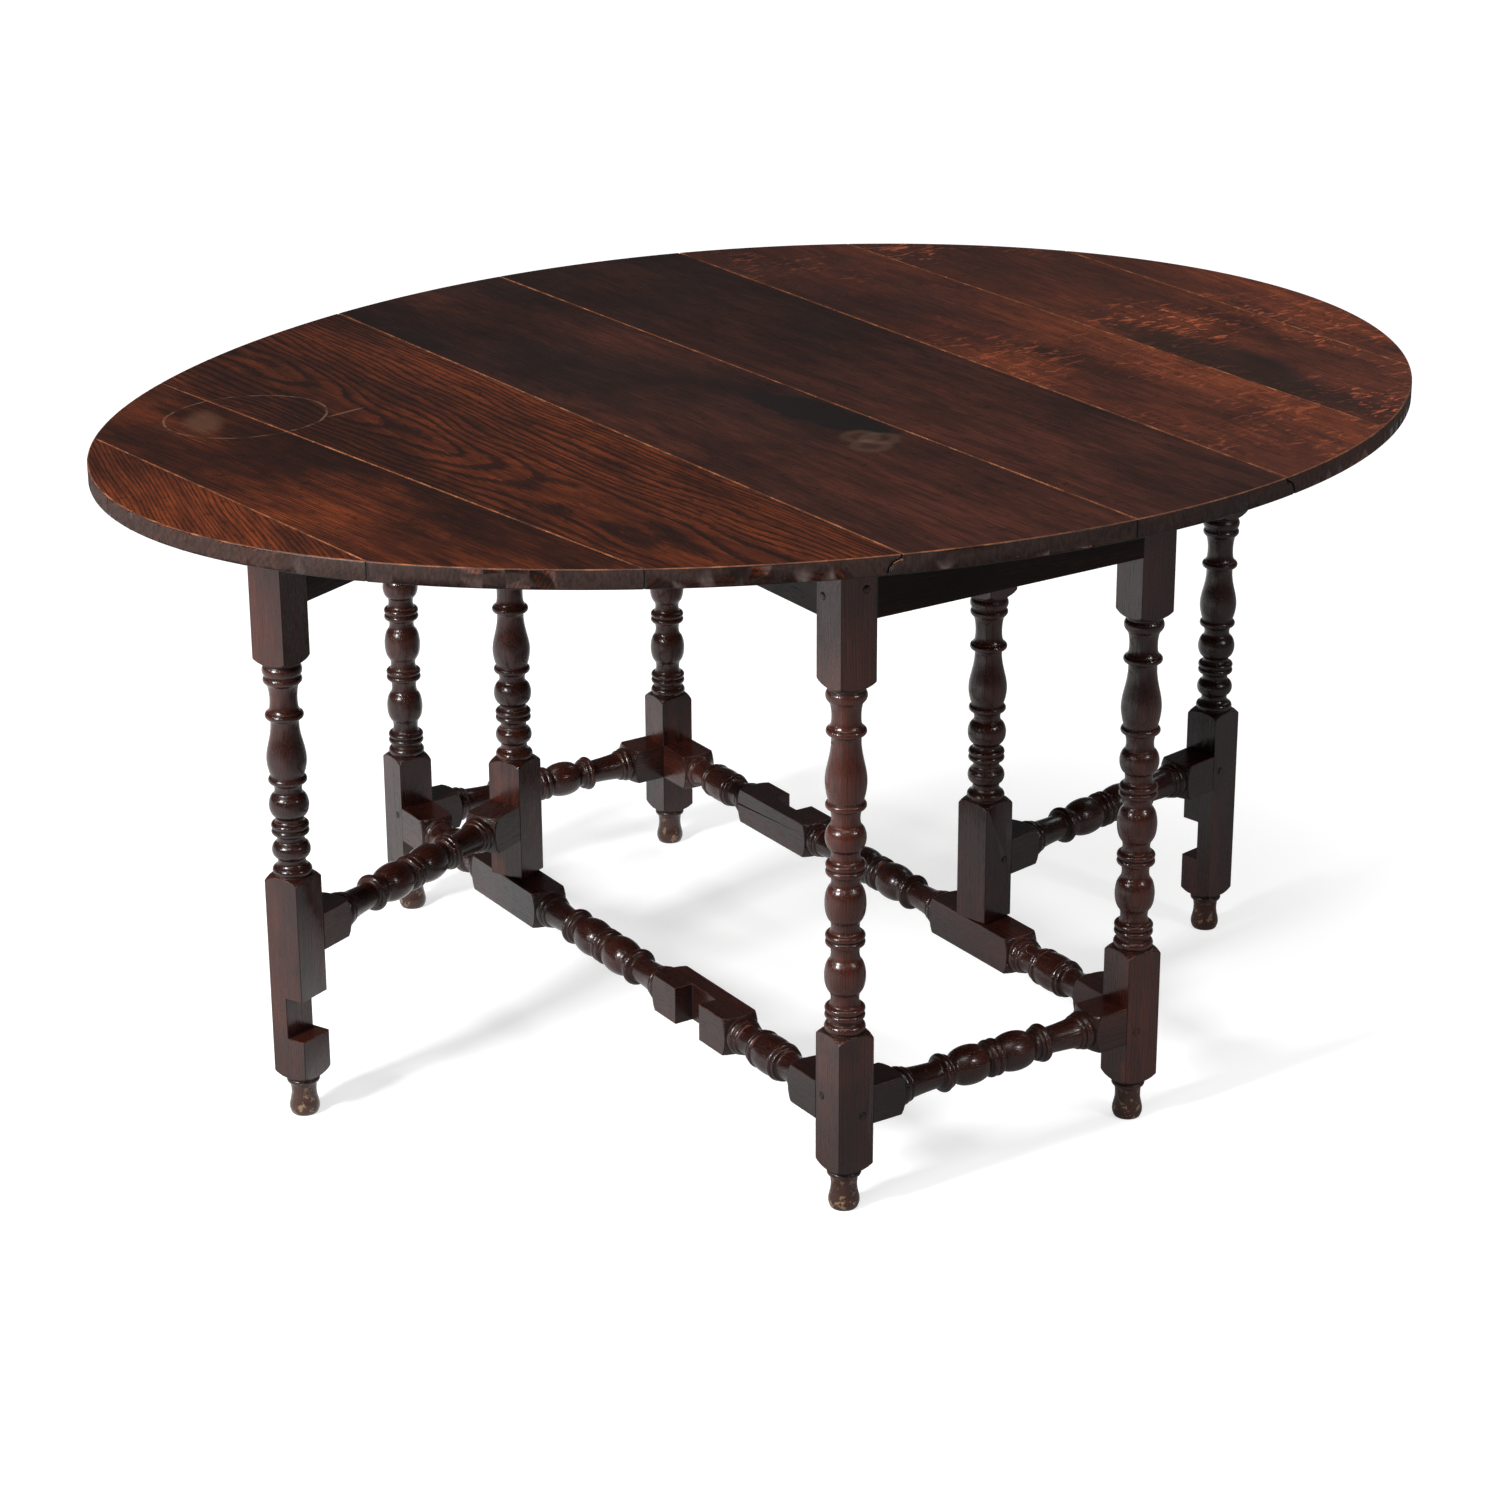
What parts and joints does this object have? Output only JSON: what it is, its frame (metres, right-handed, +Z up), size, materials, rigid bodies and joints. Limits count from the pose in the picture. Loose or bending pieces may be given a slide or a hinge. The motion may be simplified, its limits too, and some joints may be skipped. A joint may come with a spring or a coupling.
{
  "type": "gateleg table",
  "caption": "Oval drop-leaf table of turned wood, whose hinged leaves rest on swinging gate legs.",
  "frame": {"origin": "on the floor, under the middle of the whole top", "axes": "+Z up; X along the frame and the leaf hinges; +Y across them, towards the back leaf"},
  "size_m": [1.1503, 1.466, 0.735],
  "materials": {
    "oak_turned": "waxed and polished",
    "oak_rails": "waxed",
    "oak_top": "waxed and polished",
    "oak_leaves": "waxed and polished",
    "oak_pegs": "waxed",
    "iron": "dark, forged"
  },
  "bodies": {
    "frame": {"apron_back": "oak_rails", "apron_front": "oak_rails", "apron_left": "oak_rails", "apron_right": "oak_rails", "frame_pegs": "oak_pegs", "glue_block_screws": "iron", "glue_blocks": "oak_rails", "leaf_a_hinge_fixed_plates": "iron", "leaf_a_hinge_fixed_screws": "iron", "leaf_a_hinge_pins": "iron", "leaf_b_hinge_fixed_plates": "iron", "leaf_b_hinge_fixed_screws": "iron", "leaf_b_hinge_pins": "iron", "leg_back_left": "oak_turned", "leg_back_right": "oak_turned", "leg_front_left": "oak_turned", "leg_front_right": "oak_turned", "stretcher_back": "oak_turned", "stretcher_front": "oak_turned", "stretcher_left": "oak_turned", "stretcher_right": "oak_turned", "top_board_back": "oak_top", "top_board_front": "oak_top", "top_dowels": "oak_pegs"},
    "gate_a": {"gate_a_leg": "oak_turned", "gate_a_pegs": "oak_pegs", "gate_a_post": "oak_turned", "gate_a_rail": "oak_rails", "gate_a_stretcher": "oak_turned"},
    "gate_b": {"gate_b_leg": "oak_turned", "gate_b_pegs": "oak_pegs", "gate_b_post": "oak_turned", "gate_b_rail": "oak_rails", "gate_b_stretcher": "oak_turned"},
    "leaf_a": {"leaf_a_board_inner": "oak_leaves", "leaf_a_board_middle": "oak_leaves", "leaf_a_board_outer": "oak_leaves", "leaf_a_dowels": "oak_pegs", "leaf_a_hinge_leaf_plates": "iron", "leaf_a_hinge_leaf_screws": "iron"},
    "leaf_b": {"leaf_b_board_inner": "oak_leaves", "leaf_b_board_middle": "oak_leaves", "leaf_b_board_outer": "oak_leaves", "leaf_b_dowels": "oak_pegs", "leaf_b_hinge_leaf_plates": "iron", "leaf_b_hinge_leaf_screws": "iron"}
  },
  "joints": [
    {"name": "gate_a_swing", "type": "hinge", "parent": "frame", "child": "gate_a", "pos_m": [-0.246, -0.1739, 0.137], "axis": [0, 0, -1], "range_deg": [-66, 24]},
    {"name": "gate_b_swing", "type": "hinge", "parent": "frame", "child": "gate_b", "pos_m": [0.148, 0.1921, 0.137], "axis": [0, 0, -1], "range_deg": [-79, 11]},
    {"name": "leaf_a_lift", "type": "hinge", "parent": "frame", "child": "leaf_a", "pos_m": [0.00559, -0.21373, 0.717], "axis": [-0.9997, -0.0244, 0], "range_deg": [0, 3]},
    {"name": "leaf_b_lift", "type": "hinge", "parent": "frame", "child": "leaf_b", "pos_m": [0, 0.2442, 0.717], "axis": [1, 0, 0], "range_deg": [0, 3]}
  ]
}
